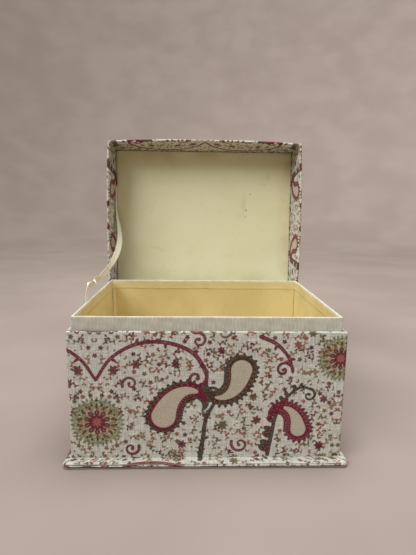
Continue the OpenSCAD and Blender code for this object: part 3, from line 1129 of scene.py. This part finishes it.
def make_lid_boards(greyboard):
    sleeve = Sleeve(half_w, half_d, 0, 0.2)
    low = lid_z0 + canvas_t
    for side in ("front", "right", "left"):
        full_half, reach, short = (half_w, half_d, 0) if side == "front" else (half_d, half_w, board_t)
        half = full_half - canvas_t - short
        s, z = np.meshgrid(np.linspace(-half, half, 90), np.linspace(low, lid_board_z, 20))
        out = reach - canvas_t + lid_bow(side, s, z, full_half)
        face = swing_open(sleeve.world(side, s, out, z))
        back = swing_open(sleeve.world(side, s, out - board_t, z))
        made = slab("lid_board_" + side, face, back, greyboard)
        settle(made, "lid", "greyboard", "lid_" + side + "_board")


# Marks on the liner: places across and back from its middle, with a radius or a width and depth
SPECKS = (
    (62, -26, 0.7), (64, -12, 1.1), (66, -29, 0.6), (70, -36, 0.9), (73, -40, 0.6), (63, -2, 0.8),
    (68, -22, 0.5), (86, -60, 0.7), (104, 20, 0.6),
)
SMUDGES = ((-72, 46, 7, 1.6), (-64, 50, 5, 1.2), (60, -18, 4, 16), (96, -62, 3, 6))


def liner_marks_and_edge_shade(x, y, edge):
    """Specks and smudges of the lid's liner, and painted shade that darkens it to brown near its edges,
    where the lid's walls shade it.
    """
    speck = np.full_like(x, FAR)
    for speck_x, speck_y, radius in SPECKS:
        speck = np.minimum(speck, np.hypot(x - speck_x, (y - speck_y) * 0.8) - radius)
    smudge = np.zeros_like(x)
    for mid_x, mid_y, wide, deep in SMUDGES:
        fade = np.exp(-((x - mid_x) / wide) ** 2 - ((y - mid_y) / deep) ** 2)
        smudge = np.maximum(smudge, 0.6 * fade)
    # painted shade: darker towards the liner's edges, where the lid's walls shade it
    edge_shade = (1 - ramp_np(edge, 0, 26)) * (0.55 + 0.45 * ripple(x, y, 70))
    return np.stack([speck, smudge, edge_shade], -1).reshape(-1, 3)


def make_liner(liner, greyboard):
    inset = wall_t + liner_gap
    wide, deep = half_w - inset, half_d - inset
    x, y = np.meshgrid(np.linspace(-wide, wide, 190), np.linspace(-deep, deep, 142))
    edge = np.minimum(wide - np.abs(x), deep - np.abs(y))
    card_face = grid(x, y, liner_z - liner_t)[::4, ::4]
    card_back = grid(x, y, liner_z)[::4, ::4]
    made = slab("lid_liner_card", swing_open(card_face), swing_open(card_back), greyboard)
    settle(made, "lid", "greyboard", "lid_liner_board")
    crown = 0.28 * np.maximum(ripple(x, y, 83), -0.4) * ramp_np(edge, 0, 14)
    roll = 0.35 * (1 - ramp_np(edge, 0, 1.6))
    face = grid(x, y, liner_z - liner_t - paper_t - crown + roll)
    back = grid(x, y, liner_z - liner_t + 0.02)
    vectors = {"marks_and_edge_shade": liner_marks_and_edge_shade(x, y, edge)}
    made = slab("lid_liner_sheet", swing_open(face), swing_open(back), liner, vectors)
    settle(made, "lid", "liner_paper", "lid_liner_paper")


# ---- hinge strip and ribbon

LEAF_H = 28.0
LEAF_INSET = 6.0
FOLD_REACH = 3.0
HINGE_PRINT_V = 103.0


def make_hinge_strip(canvas):
    """One strip of cloth down the back of the case, round the fold and along the lid's back wall."""
    down = [(half_d, z) for z in np.arange(rim_z - LEAF_H, hinge_z - FOLD_REACH, 1.0)]
    lid_back = []
    for b in np.arange(FOLD_REACH + 0.4, LEAF_H, 1.0):
        shut = np.array([0, half_d, hinge_z + b])
        opened = swing_open(shut)
        lid_back.append((opened[1], opened[2]))
    start = np.array(down[-1])
    end = np.array(lid_back[0])
    corner = np.array([hinge_y - 0.55, hinge_z + 0.35])
    fold = []
    for t in np.linspace(0, 1, 10)[1:-1]:
        fold.append(tuple((1 - t) ** 2 * start + 2 * t * (1 - t) * corner + t ** 2 * end))
    path = np.array(down + fold + lid_back)
    ahead = np.gradient(path, axis=0)
    ahead /= np.hypot(ahead[:, 0], ahead[:, 1])[:, None]
    outward = np.stack([ahead[:, 1], -ahead[:, 0]], -1)
    length = along_profile(path)
    xs = np.linspace(-half_w + LEAF_INSET, half_w - LEAF_INSET, 290)
    x = np.repeat(xs[None, :], len(path), 0)
    u = CASE_PRINT["back"] - x
    v = np.repeat(length[:, None], len(xs), 1) + HINGE_PRINT_V
    uneven = 0.05 * ripple(u, v, 17)
    path_y, path_z = path[:, 0][:, None] + 0 * x, path[:, 1][:, None] + 0 * x
    thick = canvas_t + uneven
    face = grid(x, path_y + outward[:, 0][:, None] * thick, path_z + outward[:, 1][:, None] * thick)
    back = grid(x, path_y, path_z)
    made = slab("hinge_strip", face, back, canvas, cloth_vectors(u, v))
    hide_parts("hinge_strip_case", "hinge_strip_lid")
    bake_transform(made)


# Share of the way from foot to head, distance inward, height over the straight line, and turn of
# the ribbon's width away from fore and aft, in degrees
STAY_ROUTE = [
    (0.000, -0.3, 0, 0), (0.008, -0.3, 5, 0), (0.026, 0.4, 8, 0), (0.060, 1.2, 7, 0),
    (0.110, 1.8, 2, 2), (0.190, 2.6, -6, 2), (0.290, 3.8, -16, 3), (0.410, 5.6, -26, 4),
    (0.540, 8.0, -33, 7), (0.660, 9.8, -38, 12), (0.760, 10.4, -39, 18), (0.840, 9.4, -36, 19),
    (0.895, 6.8, -29, 14), (0.940, 3.4, -20, 7), (0.975, 0.8, -10, 2), (1.000, 0.0, 0, 0),
]
RIBBON_W = 10.0
RIBBON_T = 0.4
RIBBON_SLIP = 0.2
RIBBON_DROP = 0.3
STAY_X = -half_w + wall_t + RIBBON_SLIP + RIBBON_T / 2
STAY_CASE = 135.6
STAY_LID = 128.0
STAY_TUCK = 20.0
STAY_LID_Z = liner_z - RIBBON_DROP - RIBBON_W / 2


def lid_point(ahead, z):
    return swing_open(np.array([STAY_X, hinge_y - ahead, z]))


def make_ribbon(satin):
    foot = np.array([STAY_X, hinge_y - STAY_CASE, neck_z + 2])
    head = lid_point(STAY_LID, STAY_LID_Z)
    rows = [(*foot[:2], rim_z - STAY_TUCK, 0), (*foot[:2], rim_z, 0), (*foot[:2], neck_z - 3, 0)]
    for share, inward, up, turn in STAY_ROUTE:
        rows.append((*(foot + (head - foot) * share + np.array([inward, 0, up])), turn))
    rows.append((*lid_point(STAY_LID + STAY_TUCK / 2, STAY_LID_Z), 0))
    rows.append((*lid_point(STAY_LID + STAY_TUCK, STAY_LID_Z), 0))
    route = smooth_route(np.array(rows), 1.2)
    middle = route[:, :3]
    turn = np.radians(route[:, 3])
    ahead = np.gradient(middle, axis=0)
    ahead /= np.linalg.norm(ahead, axis=1)[:, None]
    wide = np.stack([np.sin(turn), np.cos(turn), 0 * turn], -1)
    wide -= ahead * np.sum(wide * ahead, 1)[:, None]
    wide /= np.linalg.norm(wide, axis=1)[:, None]
    thick = np.cross(ahead, wide)
    length = np.concatenate([[0], np.cumsum(np.linalg.norm(np.diff(middle, axis=0), axis=1))])
    across = np.linspace(-RIBBON_W / 2, RIBBON_W / 2, 15)
    free = ramp_np(length, 42, 60) * (1 - ramp_np(length, length[-1] - 36, length[-1] - 24))
    cup = 0.35 * free[:, None] * (1 - (2 * across / RIBBON_W) ** 2)[None, :]
    cup = cup + 0.1 * free[:, None] * np.sin(length * 0.9)[:, None] * (2 * across / RIBBON_W)[None, :] ** 2
    spine = middle[:, None, :] + wide[:, None, :] * across[None, :, None]
    spine = spine + thick[:, None, :] * cup[:, :, None]
    swell = RIBBON_T / 2 * np.ones_like(across)
    swell[0] = swell[-1] = RIBBON_T / 2 * 0.9
    offset = thick[:, None, :] * swell[None, :, None]
    u = np.repeat(across[None, :], len(length), 0).ravel()
    v = np.repeat(length[:, None], len(across), 1).ravel()
    vectors = {"cloth_mm": grid(u, v, 0)}
    made = slab("stay_ribbon_satin", spine + offset, spine - offset, satin, vectors)
    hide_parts("stay_ribbon")
    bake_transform(made)
    print("ribbon length", round(float(length[-1]), 1))


def smooth_route(rows, step):
    """A smooth curve through points in space, each with a turn that goes along with it."""
    padded = np.vstack([2 * rows[0] - rows[1], rows, 2 * rows[-1] - rows[-2]])
    made = []
    for k in range(1, len(padded) - 2):
        a, b, c, d = padded[k - 1], padded[k], padded[k + 1], padded[k + 2]
        gap = np.linalg.norm((c - b)[:3])
        before = max(np.linalg.norm((b - a)[:3]), 1e-6)
        after = max(np.linalg.norm((d - c)[:3]), 1e-6)
        slope_b = gap * ((c - b) / gap + (b - a) / before) / 2
        slope_c = gap * ((d - c) / after + (c - b) / gap) / 2
        count = max(int(gap / step), 1)
        for t in np.arange(count) / count:
            made.append(
                (2 * t ** 3 - 3 * t ** 2 + 1) * b + (t ** 3 - 2 * t ** 2 + t) * slope_b
                + (-2 * t ** 3 + 3 * t ** 2) * c + (t ** 3 - t ** 2) * slope_c
            )
    made.append(rows[-1])
    return np.array(made)


# ---- floor and the whole scene

def make_floor():
    """A round floor that sweeps up far from the box, so that no view shows a horizon."""
    turns = 72
    radii = [0.3, 0.6, 0.9, 1.2, 1.6, 2.0, 2.3, 2.6, 2.9, 3.2, 3.5, 3.8, 4.1]
    points = []
    for radius in radii:
        height = 0.52 * max(0.0, radius - 2.0) ** 2 - 0.00005
        for k in range(turns):
            way = 2 * pi * k / turns
            points.append((radius * cos(way) / MM, radius * sin(way) / MM, height / MM))
    faces = [tuple(range(turns))]
    for i in range(len(radii) - 1):
        for k in range(turns):
            near, far = i * turns, (i + 1) * turns
            faces.append((near + k, far + k, far + (k + 1) % turns, near + (k + 1) % turns))
    made = build("floor", np.array(points), faces, make_floor_material(), tidy_normals=False)
    for polygon in made.data.polygons:
        polygon.use_smooth = True


def paint_cad_nodes(greyboard, kraft):
    for name, node in frame["nodes"].items():
        if node.hide_render:
            continue
        node.data.materials.clear()
        node.data.materials.append(kraft if name == "base_paper" else greyboard)


make_camera()
make_lights()
draw_print()
canvas_material = make_canvas()
ribbed_material = make_ribbed_cloth()
lining_material = make_paper(
    "lining_paper", srgb(222, 207, 154), srgb(211, 194, 138), srgb(190, 166, 110), 0.16)
lap_material = make_paper(
    "lining_lap_paper", srgb(240, 232, 200), srgb(234, 224, 188), srgb(214, 200, 156), 0.1)
liner_material = make_stained_and_shaded_paper(
    "liner_paper", srgb(236, 235, 201), srgb(232, 229, 190), srgb(214, 206, 164), 0.15)
grey_material = make_paper(
    "greyboard", srgb(150, 142, 130), srgb(138, 130, 118), srgb(118, 110, 98), 0.3)
kraft_material = make_paper(
    "base_kraft", srgb(132, 108, 80), srgb(120, 98, 72), srgb(100, 80, 58), 0.3)
satin_material = make_ribbon_satin()
make_ribbon(satin_material)
make_plinth(canvas_material)
make_case_cover(canvas_material)
make_neck_cover(ribbed_material)
make_linings(lining_material, lap_material)
make_lid_cover(canvas_material)
make_lid_boards(grey_material)
make_liner(liner_material, grey_material)
make_hinge_strip(canvas_material)
paint_cad_nodes(grey_material, kraft_material)
make_floor()
